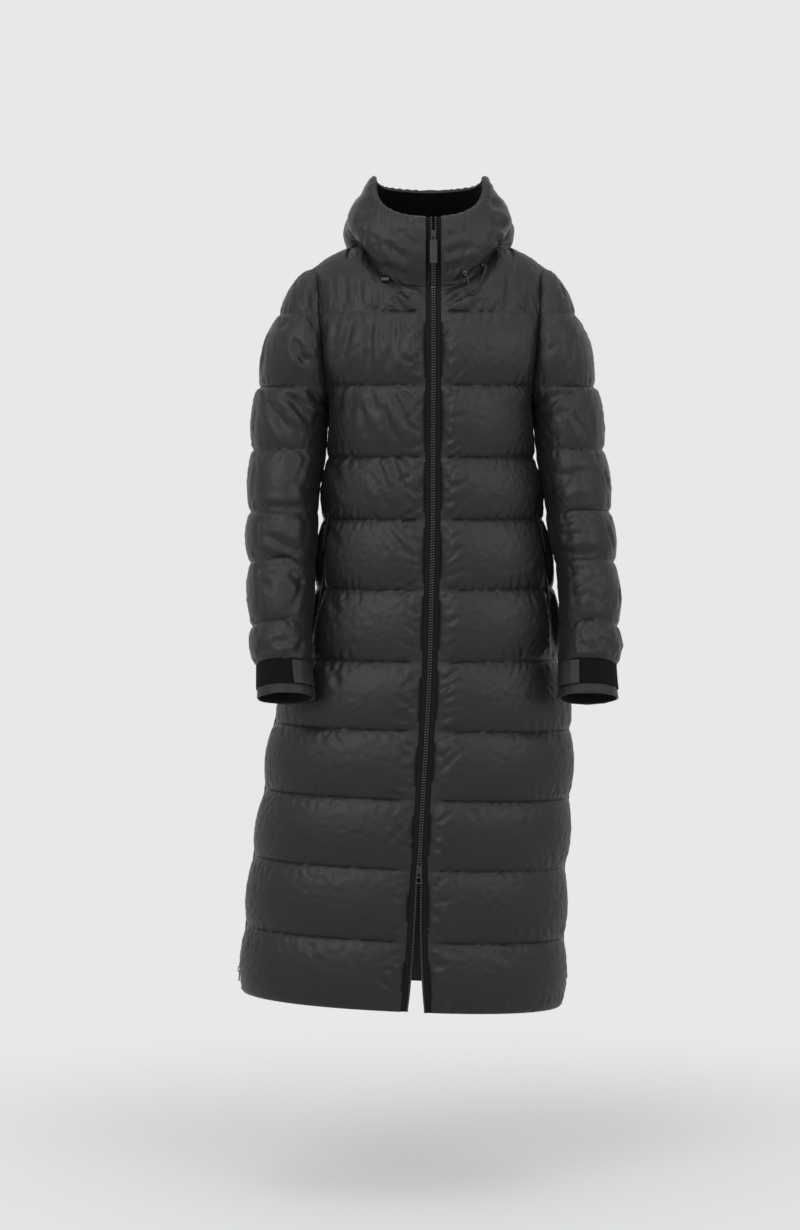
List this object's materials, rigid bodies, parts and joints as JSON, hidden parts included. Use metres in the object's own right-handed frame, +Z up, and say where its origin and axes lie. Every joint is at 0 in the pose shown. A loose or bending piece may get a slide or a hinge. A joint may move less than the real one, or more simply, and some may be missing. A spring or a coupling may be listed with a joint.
{
  "type": "long hooded puffer coat",
  "caption": "Long quilted puffer coat worn hollow, with lowered hood, full-length front zip, pocket zips, side-seam zips and hook-and-loop cuffs.",
  "frame": {"origin": "middle of the neck base, where the wearer's shoulders carry the coat", "axes": "+Z up, -Y towards the front of the coat, +X towards the wearer's left"},
  "size_m": [0.6173, 0.3643, 1.3424],
  "materials": {
    "shell_cloth": "satin woven nylon over down-like filling",
    "cuff_cloth": "satin woven nylon, plain",
    "hook_and_loop": "matt hook-and-loop pile",
    "zip_tape": "matt woven tape with moulded teeth",
    "zip_metal": "black gloss enamel",
    "pull_tab": "bonded webbing",
    "drawcord": "round braided elastic",
    "cord_lock": "moulded, glossy"
  },
  "bodies": {
    "coat": {"cuff_right": "cuff_cloth", "cuff_tab_right": "cuff_cloth", "cuff_hook_strip_right": "hook_and_loop", "cuff_left": "cuff_cloth", "cuff_tab_left": "cuff_cloth", "cuff_hook_strip_left": "hook_and_loop", "collar_right": "shell_cloth", "hood_right": "shell_cloth", "hood_back": "shell_cloth", "hood_left": "shell_cloth", "collar_left": "shell_cloth", "front_right": "shell_cloth", "front_left": "shell_cloth", "back": "shell_cloth", "sleeve_right": "shell_cloth", "sleeve_left": "shell_cloth", "zip_tape_right": "zip_tape", "zip_tape_left": "zip_tape", "front_top_slider": "zip_metal", "front_bottom_slider": "zip_metal", "pocket_zip_right": "zip_tape", "pocket_right_slider": "zip_metal", "pocket_zip_left": "zip_tape", "pocket_left_slider": "zip_metal", "side_zip_right": "zip_tape", "side_right_slider": "zip_metal", "side_zip_left": "zip_tape", "side_left_slider": "zip_metal", "hood_eyelet_1": "zip_metal", "hood_eyelet_2": "zip_metal", "hood_cord_left": "drawcord", "hood_cord_lock_right": "cord_lock"},
    "front_top_pull": {"front_top_pull": "pull_tab"},
    "front_bottom_pull": {"front_bottom_pull": "zip_metal"},
    "pocket_right_pull": {"pocket_right_pull": "pull_tab"},
    "pocket_left_pull": {"pocket_left_pull": "pull_tab"},
    "side_right_pull": {"side_right_pull": "zip_metal"},
    "side_left_pull": {"side_left_pull": "zip_metal"}
  },
  "joints": [
    {"name": "front_top_hinge", "type": "hinge", "parent": "coat", "child": "front_top_pull", "pos_m": [-0.0021, -0.09577, 0.03246], "axis": [-1, 0.0004, 0.0018], "range_deg": [0, 140]},
    {"name": "front_bottom_hinge", "type": "hinge", "parent": "coat", "child": "front_bottom_pull", "pos_m": [-0.02482, -0.15155, -0.96992], "axis": [-0.9993, 0.0004, 0.0378], "range_deg": [0, 140]},
    {"name": "pocket_right_hinge", "type": "hinge", "parent": "coat", "child": "pocket_right_pull", "pos_m": [-0.17558, -0.04883, -0.42544], "axis": [-0.4065, 0.9134, 0.023], "range_deg": [0, 9]},
    {"name": "pocket_left_hinge", "type": "hinge", "parent": "coat", "child": "pocket_left_pull", "pos_m": [0.17191, -0.04925, -0.42485], "axis": [-0.4065, -0.9129, -0.0366], "range_deg": [0, 9]},
    {"name": "side_right_hinge", "type": "hinge", "parent": "coat", "child": "side_right_pull", "pos_m": [-0.31651, 0.005, -1.15157], "axis": [0, 1, 0], "range_deg": [0, 140]},
    {"name": "side_left_hinge", "type": "hinge", "parent": "coat", "child": "side_left_pull", "pos_m": [0.21475, 0.005, -1.1622], "axis": [0, -1, 0], "range_deg": [0, 140]}
  ]
}
